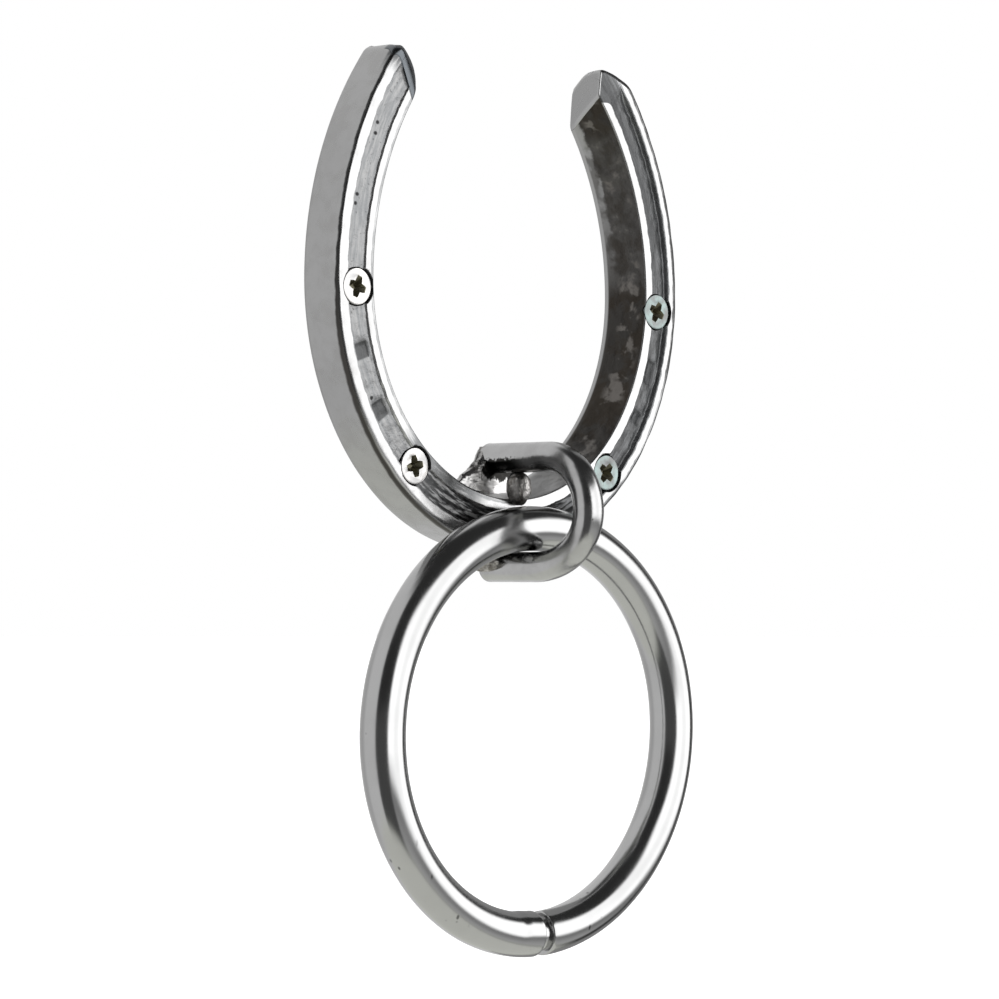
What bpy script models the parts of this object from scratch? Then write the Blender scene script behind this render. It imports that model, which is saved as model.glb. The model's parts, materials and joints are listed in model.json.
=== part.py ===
"""Horseshoe and ring puzzle, as separate solids in one Blender scene.

Metres, +Z up. The horseshoe stands heels up in the XZ plane, with its flat back in the plane Y = 0 and its
grooved front towards -Y. The origin is the middle of the toe's back face. The shackle stands out of the toe
towards -Y, and the ring hangs on the shackle's lower leg, in front of the toe.
"""

import math

import bmesh
import bpy
from mathutils import Matrix, Vector

MM = 0.001
GAP = 0.3 * MM  # clearance kept between solids that touch on the real object
OVERCUT = 1 * MM  # how far a cutter reaches past the surface that it opens
SHARP_ANGLE = math.radians(40)  # edges sharper than this stay crisp

# Horseshoe. The lower half is an ellipse, and each branch above it is an arc.
SHOE_THICKNESS = 11.4 * MM
TOE_BOTTOM = -5.4 * MM
SHOE_HALF_WIDTH = 53 * MM
TOE_HEIGHT = 59 * MM  # from the bottom of the toe up to the widest line
BRANCH_RADIUS = 83 * MM  # outer radius of a branch above the widest line
BRANCH_ANGLE = math.radians(46)  # how far a branch bends in before its heel is trimmed
BRANCH_WEB = 10.4 * MM  # width of the front face
TOE_WEB = 11.4 * MM
BACK_LIP = 2.3 * MM  # how much wider the back is than the front, on the inner side
LIP_DEPTH = 2 * MM
EDGE_RADIUS = 0.9 * MM
SOFT_SHARE = 0.25  # how far a softened corner's middle point lies along the corner
GROOVE_START = 3 * MM  # from the outer edge
GROOVE_WIDTH = 5.1 * MM
GROOVE_DEPTH = 1.2 * MM
GROOVE_WALL = 0.4 * MM  # how far a groove wall leans
WALL_TOP = 0.2  # share of the groove's depth where its wall starts
WALL_FOOT = 0.85  # share of the groove's depth where its wall turns into the floor
GROOVE_END_ANGLE = math.radians(37.5)  # where the groove has run out
GROOVE_FADE = 6 * MM  # length over which it runs out
TOE_STEPS = 16  # cross-sections from the toe to the widest line
BRANCH_STEPS = 10

# Flat cuts that trim the heels: a point on each cut, and the direction that is cut away.
HEEL_CUTS = {
    "left_end": ((-34 * MM, -11.4 * MM, 104.7 * MM), (0.72, -0.3, 0.62)),
    "left_outer_corner": ((-36 * MM, -5.7 * MM, 104.1 * MM), (-0.39, 0, 0.92)),
    "right_end": ((32 * MM, -5.7 * MM, 104.2 * MM), (0.12, 0, 0.99)),
    "right_outer_corner": ((37.2 * MM, -5.7 * MM, 102.4 * MM), (0.8, 0, 0.6)),
    "right_inner_facet": ((27.1 * MM, -11.4 * MM, 101.5 * MM), (-0.957, 0.27, 0.108)),
}
CUT_SIZE = 40 * MM

# Screws: countersunk, cross recess.
SCREW_PLACES = {
    "screw_left_upper": (-47 * MM, 51.4 * MM),
    "screw_left_lower": (-30 * MM, 13 * MM),
    "screw_right_upper": (46.5 * MM, 50 * MM),
    "screw_right_lower": (29.8 * MM, 12.5 * MM),
}
SCREW_TURNS = {
    "screw_left_upper": 18,
    "screw_left_lower": -12,
    "screw_right_upper": 27,
    "screw_right_lower": 40,
}
HEAD_RADIUS = 4 * MM
HEAD_RIM = 0.25 * MM
HEAD_CROWN = 0.25 * MM  # softened edge of the head's face
HEAD_SINK = 0.35 * MM  # head below the rims of the groove
HEAD_ROOM = 0.45 * MM  # hole's rim around the head
SHANK_RADIUS = 1.95 * MM
SHANK_LENGTH = 7 * MM
SHANK_CHAMFER = 0.5 * MM
RECESS_LENGTH = 4.6 * MM
RECESS_WIDTH = 0.95 * MM
RECESS_DEPTH = 1.7 * MM
RECESS_FLOOR = (0.3, 0.72)  # shares of the length and the width that are left at the bottom
ROUND_SEGMENTS = 20

# Shackle: a U of round bar in the plane X = 0.
SHACKLE_BAR = 3.4 * MM  # radius of the bar
LEG_TOE_GAP = 0.25 * MM
LOWER_LEG_Z = TOE_BOTTOM - LEG_TOE_GAP - SHACKLE_BAR
UPPER_LEG_Z = 15.4 * MM
LEG_END_Y = -3.3 * MM
SHACKLE_CHAMFER = 0.5 * MM
SHACKLE_SIDES = 18
BEND_STEPS = 14
SHACKLE_REACH = 38 * MM  # how far its nose stands from the back plane
LOWER_SWEEP = 16.5 * MM  # how far back the bend of the lower leg starts, from the nose

# Weld beads: centre and radii of each one's ellipsoid.
WELDS = {
    "upper_rear_weld": ((0, -3.4 * MM, 10.6 * MM), (7.2 * MM, 2.7 * MM, 7.4 * MM)),
    "upper_front_weld": ((0.4 * MM, -12.1 * MM, 9.4 * MM), (2.7 * MM, 3.2 * MM, 4.9 * MM)),
    "lower_left_weld": ((-4.1 * MM, -6.1 * MM, -7.3 * MM), (2.7 * MM, 4.4 * MM, 3 * MM)),
    "lower_right_weld": ((4.1 * MM, -6.1 * MM, -7.3 * MM), (2.7 * MM, 4.4 * MM, 3 * MM)),
}
LUMP_HEIGHT = 0.045  # of the bead's radius
LUMP_WAVES = (Vector((9, 0, 3)), Vector((0, 7, -4)), Vector((8, 11, 0)))  # waves per radian in each direction
SMALL_LUMPS = 0.6  # height of the third wave beside the first two

# Ring: round bar bent to a circle, open at a joint near its lowest point.
RING_BAR = 5 * MM
RING_OUTER_RADIUS = 50 * MM
RING_FACE_GAP = 0.6 * MM  # between the ring and the front of the toe
RING_SIDES = 18
RING_STEPS = 72
RING_CHAMFER = 0.35 * MM
RING_JOINT_GAP = 2.6 * MM  # between the bar's two ends
RING_JOINT_SHIFT = 1 * MM  # from the ring's lowest point to the middle of the joint, towards +X
RING_END_SWELL = 0.4 * MM  # the left end is a little thicker than the right
SWELL_LENGTH = 4 * MM
SWELL_MIDDLE = 0.8  # share of the swell that is reached halfway along it
PIN_RADIUS = 4 * MM
PIN_LENGTH = 9 * MM
PIN_CHAMFER = 0.3 * MM
PIN_HOLE_DEPTH = 3.6 * MM

FRONT_Y = -SHOE_THICKNESS
WIDEST_Z = TOE_BOTTOM + TOE_HEIGHT
RING_RADIUS = RING_OUTER_RADIUS - RING_BAR
RING_Y = FRONT_Y - RING_FACE_GAP - RING_BAR
RING_TOP_Z = LOWER_LEG_Z + SHACKLE_BAR + GAP + RING_BAR
RING_CENTRE_Z = RING_TOP_Z - RING_RADIUS
RING_JOINT_TURN = RING_JOINT_SHIFT / RING_RADIUS


def clear_scene():
    for thing in list(bpy.data.objects):
        bpy.data.objects.remove(thing, do_unlink=True)


def material(name, colour, metallic, roughness):
    made = bpy.data.materials.new(name)
    made.use_nodes = True
    shader = made.node_tree.nodes["Principled BSDF"]
    shader.inputs["Base Color"].default_value = (*colour, 1)
    shader.inputs["Metallic"].default_value = metallic
    shader.inputs["Roughness"].default_value = roughness
    return made


def add_object(name, mesh_tools, finish=None):
    """Make an object from a bmesh, with smooth shading that breaks at sharp edges."""
    bmesh.ops.recalc_face_normals(mesh_tools, faces=mesh_tools.faces)
    mesh = bpy.data.meshes.new(name)
    mesh_tools.to_mesh(mesh)
    mesh_tools.free()
    mesh.shade_smooth()
    mesh.set_sharp_from_angle(angle=SHARP_ANGLE)
    made = bpy.data.objects.new(name, mesh)
    bpy.context.scene.collection.objects.link(made)
    if finish:
        mesh.materials.append(finish)
    return made


def add_cutter(name, mesh_tools):
    made = add_object(name, mesh_tools)
    made.hide_render = True
    made.display_type = "WIRE"
    return made


def cut(target, cutter):
    boolean = target.modifiers.new("cut_" + cutter.name, "BOOLEAN")
    boolean.operation = "DIFFERENCE"
    boolean.solver = "EXACT"
    boolean.object = cutter


def loft(loops):
    """A skin over loops of points, capped at both ends."""
    tools = bmesh.new()
    rows = [[tools.verts.new(point) for point in loop] for loop in loops]
    size = len(rows[0])
    for near, far in zip(rows, rows[1:]):
        for i in range(size):
            j = (i + 1) % size
            tools.faces.new((near[i], near[j], far[j], far[i]))
    tools.faces.new(rows[0])
    tools.faces.new(reversed(rows[-1]))
    return tools


def lathe(profile, segments):
    """Turn a profile of (radius, height) points about +Z, closed by flat discs at its first and last radius."""
    loops = []
    for radius, height in profile:
        angles = [2 * math.pi * i / segments for i in range(segments)]
        loops.append([(radius * math.cos(a), radius * math.sin(a), height) for a in angles])
    return loft(loops)


# ---------------------------------------------------------------- horseshoe


def shoe_section(groove_depth):
    """The shoe's cross-section as (distance in from the outer edge, y) points, from back to front and round."""
    front = FRONT_Y
    soft = SOFT_SHARE * EDGE_RADIUS
    groove_end = GROOVE_START + GROOVE_WIDTH
    inner = BRANCH_WEB
    lip = BRANCH_WEB + BACK_LIP
    return [
        (0, -EDGE_RADIUS),
        (0, front + EDGE_RADIUS),
        (soft, front + soft),
        (EDGE_RADIUS, front),
        (GROOVE_START - soft, front),
        (GROOVE_START + soft, front + WALL_TOP * groove_depth),
        (GROOVE_START + GROOVE_WALL, front + WALL_FOOT * groove_depth),
        (GROOVE_START + 2 * GROOVE_WALL, front + groove_depth),
        (groove_end - 2 * GROOVE_WALL, front + groove_depth),
        (groove_end - GROOVE_WALL, front + WALL_FOOT * groove_depth),
        (groove_end - soft, front + WALL_TOP * groove_depth),
        (groove_end + soft, front),
        (inner - EDGE_RADIUS, front),
        (inner - soft, front + soft),
        (inner + soft, front + EDGE_RADIUS),
        (lip - soft, -LIP_DEPTH - soft),
        (lip, -LIP_DEPTH + soft),
        (lip, -soft),
        (lip - soft, 0),
        (EDGE_RADIUS, 0),
    ]


def grown(section, by):
    """The cross-section with each point moved out by a distance."""
    moved = []
    for i, (inward, y) in enumerate(section):
        before = Vector(section[i - 1])
        after = Vector(section[(i + 1) % len(section)])
        along = (after - before).normalized()
        moved.append((inward + along.y * by, y - along.x * by))
    return moved


def place_on_shoe(step_angle, on_branch, inward, y, side):
    """A point of the shoe from its place along the outline and its distance in from the outer edge."""
    if on_branch:
        reach = BRANCH_RADIUS - inward
        x = SHOE_HALF_WIDTH - BRANCH_RADIUS + reach * math.cos(step_angle)
        z = WIDEST_Z + reach * math.sin(step_angle)
    else:
        x = (SHOE_HALF_WIDTH - inward) * math.sin(step_angle)
        z = WIDEST_Z - (TOE_HEIGHT - inward * TOE_WEB / BRANCH_WEB) * math.cos(step_angle)
    return (side * x, y, z)


def smooth_step(value):
    value = min(1, max(0, value))
    return value * value * (3 - 2 * value)


def half_shoe_stations():
    """(angle, on_branch, groove share) from the middle of the toe to the end of a branch."""
    stations = [(math.pi / 2 * i / TOE_STEPS, False, 1) for i in range(TOE_STEPS)]
    for i in range(BRANCH_STEPS + 1):
        angle = BRANCH_ANGLE * i / BRANCH_STEPS
        groove_left = (GROOVE_END_ANGLE - angle) * BRANCH_RADIUS
        stations.append((angle, True, smooth_step(groove_left / GROOVE_FADE)))
    return stations


def shoe_mesh(grow=0):
    stations = half_shoe_stations()
    runs = [(-1, station) for station in reversed(stations[1:])] + [(1, station) for station in stations]
    loops = []
    for side, (angle, on_branch, share) in runs:
        section = shoe_section(GROOVE_DEPTH * share)
        if grow:
            section = grown(section, grow)
        loops.append([place_on_shoe(angle, on_branch, s, y, side) for s, y in section])
    return loft(loops)


def heel_cutter(name, point, away):
    """A box with its lower face on the cut and its body on the side that is cut away."""
    tools = bmesh.new()
    bmesh.ops.create_cube(tools, size=CUT_SIZE)
    bmesh.ops.translate(tools, verts=tools.verts, vec=(0, 0, CUT_SIZE / 2))
    cutter = add_cutter("trim_" + name, tools)
    cutter.location = point
    cutter.rotation_euler = Vector(away).to_track_quat("Z", "Y").to_euler()
    return cutter


def screw_hole(name, place):
    """A countersunk hole, a little larger than the screw all round, right through the shoe."""
    x, z = place
    wide = HEAD_RADIUS + HEAD_ROOM
    narrow = SHANK_RADIUS + GAP
    top = FRONT_Y - OVERCUT
    seat = FRONT_Y + HEAD_SINK + HEAD_CROWN + HEAD_RIM + GAP
    neck = seat + wide - narrow
    profile = [(wide, -top), (wide, -seat), (narrow, -neck), (narrow, -OVERCUT)]
    cutter = add_cutter("hole_" + name, lathe(profile, ROUND_SEGMENTS))
    cutter.rotation_euler = (math.radians(90), 0, 0)
    cutter.location = (x, 0, z)
    return cutter


def build_horseshoe(finish):
    shoe = add_object("horseshoe", shoe_mesh(), finish)
    for name, (point, away) in HEEL_CUTS.items():
        cut(shoe, heel_cutter(name, point, away))
    for name, place in SCREW_PLACES.items():
        cut(shoe, screw_hole(name, place))
    return shoe


# ---------------------------------------------------------------- screws


def screw_profile():
    """From the tip of the shank up to the face of the head, as (radius, height) with the face at height 0."""
    cone_height = HEAD_RADIUS - SHANK_RADIUS
    rim_bottom = -HEAD_CROWN - HEAD_RIM
    neck = rim_bottom - cone_height
    tip = neck - SHANK_LENGTH
    return [
        (SHANK_RADIUS - SHANK_CHAMFER, tip),
        (SHANK_RADIUS, tip + SHANK_CHAMFER),
        (SHANK_RADIUS, neck),
        (HEAD_RADIUS, rim_bottom),
        (HEAD_RADIUS, -HEAD_CROWN),
        (HEAD_RADIUS - HEAD_CROWN, 0),
    ]


def recess_arm(turn):
    """One arm of the cross recess: a tapered blade."""
    loops = []
    levels = ((-RECESS_DEPTH, RECESS_FLOOR), (0, (1, 1)), (OVERCUT, (1, 1)))
    for height, (length_share, width_share) in levels:
        half_length = RECESS_LENGTH / 2 * length_share
        half_width = RECESS_WIDTH / 2 * width_share
        corners = [(-1, -1), (1, -1), (1, 1), (-1, 1)]
        loops.append([(sx * half_length, sy * half_width, height) for sx, sy in corners])
    tools = loft(loops)
    bmesh.ops.rotate(tools, verts=tools.verts, matrix=Matrix.Rotation(turn, 3, "Z"))
    return tools


def build_screw(name, place, turn, finish):
    x, z = place
    screw = add_object(name, lathe(screw_profile(), ROUND_SEGMENTS), finish)
    placement = (x, FRONT_Y + HEAD_SINK, z)
    tilt = (math.radians(90), math.radians(turn), 0)
    screw.location = placement
    screw.rotation_euler = tilt
    for arm in (0, 1):
        blade = add_cutter(f"recess_{arm}_{name}", recess_arm(arm * math.pi / 2))
        blade.location = placement
        blade.rotation_euler = tilt
        cut(screw, blade)
    return screw


# ---------------------------------------------------------------- shackle and welds


def tube_loop(centre, across, up, radius, sides):
    angles = [2 * math.pi * i / sides for i in range(sides)]
    return [centre + across * radius * math.cos(a) + up * radius * math.sin(a) for a in angles]


def shackle_path():
    """(centre, direction across the bar in the U's plane) from the upper leg's end to the lower one's."""
    bend = (UPPER_LEG_Z - LOWER_LEG_Z) / 2
    middle_z = (UPPER_LEG_Z + LOWER_LEG_Z) / 2
    nose_y = -(SHACKLE_REACH - SHACKLE_BAR)
    path = [(Vector((0, LEG_END_Y, UPPER_LEG_Z)), Vector((0, 0, 1)))]
    for i in range(BEND_STEPS + 1):
        turn = math.pi * i / BEND_STEPS
        reach = bend if turn <= math.pi / 2 else LOWER_SWEEP
        centre = Vector((0, nose_y + reach * (1 - math.sin(turn)), middle_z + bend * math.cos(turn)))
        outward = Vector((0, -math.sin(turn) / reach, math.cos(turn) / bend)).normalized()
        path.append((centre, outward))
    path.append((Vector((0, LEG_END_Y, LOWER_LEG_Z)), Vector((0, 0, -1))))
    return path


def shackle_mesh(grow=0):
    across = Vector((1, 0, 0))
    path = shackle_path()
    loops = [tube_loop(c, across, up, SHACKLE_BAR + grow, SHACKLE_SIDES) for c, up in path]
    for end in (0, -1):
        centre, up = path[end]
        tip = centre + Vector((0, SHACKLE_CHAMFER + grow, 0))
        cap = tube_loop(tip, across, up, SHACKLE_BAR + grow - SHACKLE_CHAMFER, SHACKLE_SIDES)
        loops.insert(0 if end == 0 else len(loops), cap)
    return loft(loops)


def lumpy_ball(centre, radii):
    """An ellipsoid with the shallow lumps of a weld bead."""
    first, second, third = LUMP_WAVES
    tools = bmesh.new()
    bmesh.ops.create_icosphere(tools, subdivisions=3, radius=1)
    for vert in tools.verts:
        n = vert.co.copy()
        lumps = math.sin(first.dot(n)) * math.cos(second.dot(n)) + SMALL_LUMPS * math.sin(third.dot(n))
        swell = 1 + LUMP_HEIGHT * lumps
        vert.co = Vector([centre[i] + n[i] * radii[i] * swell for i in range(3)])
    return tools


def build_shackle(finish, weld_finish):
    add_object("shackle", shackle_mesh(), finish)
    shoe_cutter = add_cutter("room_for_shoe", shoe_mesh(GAP))
    shackle_cutter = add_cutter("room_for_shackle", shackle_mesh(GAP))
    for name, (centre, radii) in WELDS.items():
        weld = add_object(name, lumpy_ball(centre, radii), weld_finish)
        cut(weld, shoe_cutter)
        cut(weld, shackle_cutter)


# ---------------------------------------------------------------- ring


def ring_place(turn):
    """(centre of the bar, outward direction) at an angle from the ring's lowest point."""
    outward = Vector((math.sin(turn), 0, -math.cos(turn)))
    return Vector((0, RING_Y, RING_CENTRE_Z)) + outward * RING_RADIUS, outward


def ring_mesh():
    """An open ring of round bar. Its left end is slightly swollen."""
    half_gap = RING_JOINT_GAP / 2 / RING_RADIUS
    across = Vector((0, 1, 0))
    first = RING_JOINT_TURN + half_gap
    last = RING_JOINT_TURN + 2 * math.pi - half_gap
    swollen = RING_BAR + RING_END_SWELL
    places = [(first, RING_BAR - RING_CHAMFER), (first + RING_CHAMFER / RING_RADIUS, RING_BAR)]
    for i in range(1, RING_STEPS):
        places.append((first + (last - first) * i / RING_STEPS, RING_BAR))
    swell_start = last - SWELL_LENGTH / RING_RADIUS
    places = [place for place in places if place[0] < swell_start]
    places.append((swell_start, RING_BAR))
    places.append((last - SWELL_LENGTH / 2 / RING_RADIUS, RING_BAR + SWELL_MIDDLE * RING_END_SWELL))
    places.append((last - RING_CHAMFER / RING_RADIUS, swollen))
    places.append((last, swollen - RING_CHAMFER))
    loops = []
    for turn, radius in places:
        centre, outward = ring_place(turn)
        loops.append(tube_loop(centre, across, outward, radius, RING_SIDES))
    return loft(loops)


def pin_solid(radius, length):
    """A rod with softened ends, in the middle of the ring's joint and in line with the bar."""
    half = length / 2
    tip = radius - PIN_CHAMFER
    profile = [(tip, -half), (radius, PIN_CHAMFER - half), (radius, half - PIN_CHAMFER), (tip, half)]
    tools = lathe(profile, ROUND_SEGMENTS)
    along_bar = Matrix.Rotation(math.pi / 2 - RING_JOINT_TURN, 3, "Y")
    bmesh.ops.rotate(tools, verts=tools.verts, matrix=along_bar)
    middle, _ = ring_place(RING_JOINT_TURN)
    bmesh.ops.translate(tools, verts=tools.verts, vec=middle)
    return tools


def build_ring(finish, pin_finish):
    ring = add_object("ring", ring_mesh(), finish)
    bore_length = 2 * PIN_HOLE_DEPTH + RING_JOINT_GAP
    cut(ring, add_cutter("pin_bore", pin_solid(PIN_RADIUS + GAP, bore_length)))
    pin = add_object("ring_joint_pin", pin_solid(PIN_RADIUS, PIN_LENGTH), pin_finish)
    axis = Vector((0, RING_Y, RING_TOP_Z))
    pivot = bpy.data.objects.new("ring_pivot", None)
    pivot.location = axis
    bpy.context.scene.collection.objects.link(pivot)
    for piece in (ring, pin):
        piece.data.transform(Matrix.Translation(-axis))
        piece.parent = pivot
    for modifier in ring.modifiers:
        modifier.object.data.transform(Matrix.Translation(-axis))
        modifier.object.parent = pivot


def main():
    clear_scene()
    shoe_steel = material("shoe_steel", (0.42, 0.42, 0.42), 1, 0.38)
    bar_steel = material("bar_steel", (0.5, 0.5, 0.5), 1, 0.35)
    weld_steel = material("weld_steel", (0.3, 0.29, 0.27), 1, 0.45)
    ring_chrome = material("ring_chrome", (0.75, 0.75, 0.76), 1, 0.12)
    zinc = material("screw_zinc", (0.72, 0.73, 0.74), 1, 0.25)
    build_horseshoe(shoe_steel)
    for name, place in SCREW_PLACES.items():
        build_screw(name, place, SCREW_TURNS[name], zinc)
    build_shackle(bar_steel, weld_steel)
    build_ring(ring_chrome, bar_steel)
    bpy.context.view_layer.update()


main()
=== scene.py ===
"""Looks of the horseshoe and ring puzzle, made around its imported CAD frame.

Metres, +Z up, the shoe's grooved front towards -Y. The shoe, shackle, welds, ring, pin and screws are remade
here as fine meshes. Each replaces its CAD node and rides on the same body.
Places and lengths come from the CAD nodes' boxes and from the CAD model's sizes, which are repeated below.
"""

import json
import math
from types import SimpleNamespace

import bmesh
import bpy
from mathutils import Matrix, Vector, noise


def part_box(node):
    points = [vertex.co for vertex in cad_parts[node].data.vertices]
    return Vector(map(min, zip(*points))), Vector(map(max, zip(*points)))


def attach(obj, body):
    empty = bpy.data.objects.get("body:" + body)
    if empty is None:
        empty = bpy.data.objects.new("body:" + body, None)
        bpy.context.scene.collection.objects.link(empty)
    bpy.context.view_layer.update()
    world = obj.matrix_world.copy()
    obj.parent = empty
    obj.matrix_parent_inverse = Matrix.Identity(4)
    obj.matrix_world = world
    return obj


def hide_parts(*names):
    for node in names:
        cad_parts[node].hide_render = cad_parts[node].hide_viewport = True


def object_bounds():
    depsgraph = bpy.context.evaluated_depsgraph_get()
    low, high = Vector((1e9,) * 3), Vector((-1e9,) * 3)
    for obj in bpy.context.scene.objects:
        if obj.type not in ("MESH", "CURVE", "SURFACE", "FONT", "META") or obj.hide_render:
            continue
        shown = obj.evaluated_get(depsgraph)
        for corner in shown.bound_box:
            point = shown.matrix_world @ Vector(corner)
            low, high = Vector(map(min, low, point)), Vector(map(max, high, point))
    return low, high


MM = 0.001
FULL_TURN = 2 * math.pi

# -------- dimensions

# The CAD model's sizes, with small differences on purpose: the heels have more bevels, the screw holes fit
# closer, the groove's walls are steeper, and the ring's left end swells on its inner side only.

# Horseshoe: an ellipse below its widest line and an arc in each branch above it.
SHOE_HALF_WIDTH = 53 * MM
TOE_HEIGHT = 59 * MM
BRANCH_RADIUS = 83 * MM
BRANCH_WEB = 10.4 * MM
TOE_WEB = 11.4 * MM
BACK_LIP = 2.3 * MM
LIP_DEPTH = 2 * MM
GROOVE_START = 3 * MM
GROOVE_WIDTH = 5.1 * MM
GROOVE_DEPTH = 1.2 * MM
GROOVE_SLOPE = 0.35 * MM  # width of the outer wall, which leans
INNER_WALL_WIDTH = 0.3 * MM
INNER_WALL_SHARE = 0.4  # how much of the groove's depth the inner wall takes; the floor slopes up to it
GROOVE_END_ANGLE = math.radians(37.5)
GROOVE_FADE = 6 * MM
# Planes that trim the heels, left (-1) and right (1): a point in mm, and the direction that is cut away.
HEEL_CUTS = {
    -1: (
        ((-31.4, -11.4, 103.3), (0.667, -0.1, 0.745)),
        ((-29, -11.4, 100.6), (0.894, -0.1, 0.447)),
        ((-28.7, -11.4, 98.1), (0.99, -0.05, -0.13)),
        ((-36, -5.7, 104.5), (-0.39, 0, 0.92)),
        ((-36.1, -11.4, 103.2), (-0.42, -0.5, 0.76)),
        ((-32.1, -11.4, 98), (0.333, -0.93, 0.136)),
    ),
    1: (
        ((30, -5.7, 104.8), (0.06, 0, 0.99)),
        ((35.9, -5.7, 103.6), (0.45, 0, 0.89)),
        ((39, -5.7, 101.4), (0.78, 0, 0.62)),
        ((32, -11.4, 103.6), (0.3, -0.66, 0.69)),
        ((27.1, -11.4, 101.5), (-0.957, 0.2, 0.108)),
        ((28.6, 0, 95.5), (-0.957, 0.27, 0.02)),
        ((29.4, 0, 101.2), (-0.35, 0.57, 0.74)),
    ),
}

# Filled nail holes: distance along from the toe and half their length, in mm.
NAIL_HOLES = ((-70.1, 2.1), (-54.7, 2.3), (67.9, 3.1), (55.2, 1.7))
# Small pits: distance along from the toe and in from the outer edge, in mm.
PITS = ((-125, 4.7), (-122.4, 5.1), (-107, 4.4), (-104.8, 4.3), (-58.5, 4.6))

# Screws, with the turn of each recess in degrees.
SCREW_TURNS = {
    "screw_left_upper": 18,
    "screw_left_lower": -12,
    "screw_right_upper": 27,
    "screw_right_lower": 40,
}
HEAD_RADIUS = 4 * MM
HEAD_RIM = 0.25 * MM
HEAD_CROWN = 0.25 * MM
HOLE_CLEARANCE = 0.25 * MM
SHANK_RADIUS = 1.95 * MM

SHACKLE_BAR = 3.4 * MM
UPPER_LEG_Z = 15.4 * MM
LOWER_LEG_TOP = -5.65 * MM
LOWER_SWEEP = 16.5 * MM

RING_BAR = 5 * MM
RING_OUTER_RADIUS = 50 * MM
RING_LEFT_END = 0.3 * MM  # from the lowest point to the bar's left end
RING_RIGHT_END = 2.3 * MM
RING_END_SWELL = 0.28 * MM  # how much thicker the bar's left end is
SWELL_LENGTH = 4 * MM
SWELL_RUN = 3 * MM
PIN_RADIUS = 4 * MM

# -------- camera, from a perspective fit

CAMERA_PLACE = Vector((-0.62238, -0.645907, -0.008363))
CAMERA_YAW = math.radians(44.23)
CAMERA_PITCH = math.radians(0.93)
CAMERA_ROLL = math.radians(-0.032)
CAMERA_LENS = 143.5
CAMERA_SENSOR = 36
CAMERA_NEAR = 0.01


# -------- node graphs


class Graph:
    """The nodes of a material or world, with short calls that add some and return an output socket."""

    def __init__(self, holder):
        holder.use_nodes = True
        self.holder = holder
        self.tree = holder.node_tree

    def put(self, socket, value):
        if isinstance(value, bpy.types.NodeSocket):
            self.tree.links.new(value, socket)
        else:
            socket.default_value = value

    def add(self, kind, inputs=(), output=0, **settings):
        """inputs gives the node's sockets, by index or name, their values or the sockets that feed them."""
        made = self.tree.nodes.new(kind)
        for name, value in settings.items():
            setattr(made, name, value)
        for key, value in dict(inputs).items():
            self.put(made.inputs[key], value)
        return made.outputs[output] if made.outputs else None

    def surface(self, inputs):
        """Set inputs of the material's surface shader."""
        for name, value in inputs.items():
            self.put(self.tree.nodes["Principled BSDF"].inputs[name], value)

    def math(self, operation, *values):
        return self.add("ShaderNodeMath", enumerate(values), operation=operation)

    def product(self, *values):
        result = values[0]
        for value in values[1:]:
            result = self.math("MULTIPLY", result, value)
        return result

    def span(self, value, low, high, start=0.0, end=1.0):
        """A smooth rise from start to end as the value goes from low to high."""
        values = enumerate((value, low, high, start, end))
        return self.add("ShaderNodeMapRange", values, interpolation_type="SMOOTHSTEP")

    def fall(self, value, low, high):
        """1 below low, 0 above high."""
        return self.span(value, low, high, 1.0, 0.0)

    def band(self, value, low, high, soft):
        """1 between low and high, 0 outside, with soft edges."""
        rise = self.span(value, low - soft / 2, low + soft / 2)
        return self.product(rise, self.fall(value, high - soft / 2, high + soft / 2))

    def mix(self, share, first, second):
        """A colour between first and second."""
        return self.add("ShaderNodeMix", {0: share, 6: first, 7: second}, 2, data_type="RGBA")

    def layer(self, colour, layers):
        """The colour with (mask, colour) layers laid over it in order."""
        for mask, over in layers:
            colour = self.mix(mask, colour, over)
        return colour

    def blend(self, share, first, second):
        """A number between first and second."""
        return self.add("ShaderNodeMix", {0: share, 2: first, 3: second}, data_type="FLOAT")

    def noise(self, place, scale, detail=3.0, rough=0.55, twist=0.0):
        inputs = {"Vector": place, "Scale": scale, "Detail": detail, "Roughness": rough, "Distortion": twist}
        return self.add("ShaderNodeTexNoise", inputs, "Fac")

    def ragged(self, place, scale, size):
        """A rough offset of up to half the size, either way."""
        return self.math("MULTIPLY_ADD", self.noise(place, scale, 4, 0.7), size, -size / 2)

    def xyz(self, vector):
        return tuple(self.add("ShaderNodeSeparateXYZ", {0: vector}).node.outputs)

    def cells(self, place, scale):
        return self.add("ShaderNodeTexVoronoi", {"Vector": place, "Scale": scale}, "Distance")

    def stretch(self, place, scale):
        return self.add("ShaderNodeMapping", {"Vector": place, "Scale": scale}, vector_type="POINT")

    def bump(self, height, distance, strength=1.0, under=None):
        inputs = {"Strength": strength, "Distance": distance, "Height": height}
        if under:
            inputs["Normal"] = under
        return self.add("ShaderNodeBump", inputs)


def grey(value, warmth=0.0):
    """A near-neutral colour. Positive warmth is browner, negative is bluer."""
    return (value * (1 + warmth), value, value * (1 - warmth), 1.0)


def new_metal(name):
    """(graph, object coordinates) of a new metal."""
    graph = Graph(bpy.data.materials.new(name))
    graph.surface({"Metallic": 1.0})
    return graph, graph.add("ShaderNodeTexCoord", output="Object")


def finish_metal(graph, colour, roughness, normal):
    graph.surface({"Base Color": colour, "Roughness": roughness, "Normal": normal})
    return graph.holder


# -------- materials

ZINC_GREEN = (0.26, 0.32, 0.31, 1.0)
GRIME_OLIVE = (0.26, 0.25, 0.17, 1.0)


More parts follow.
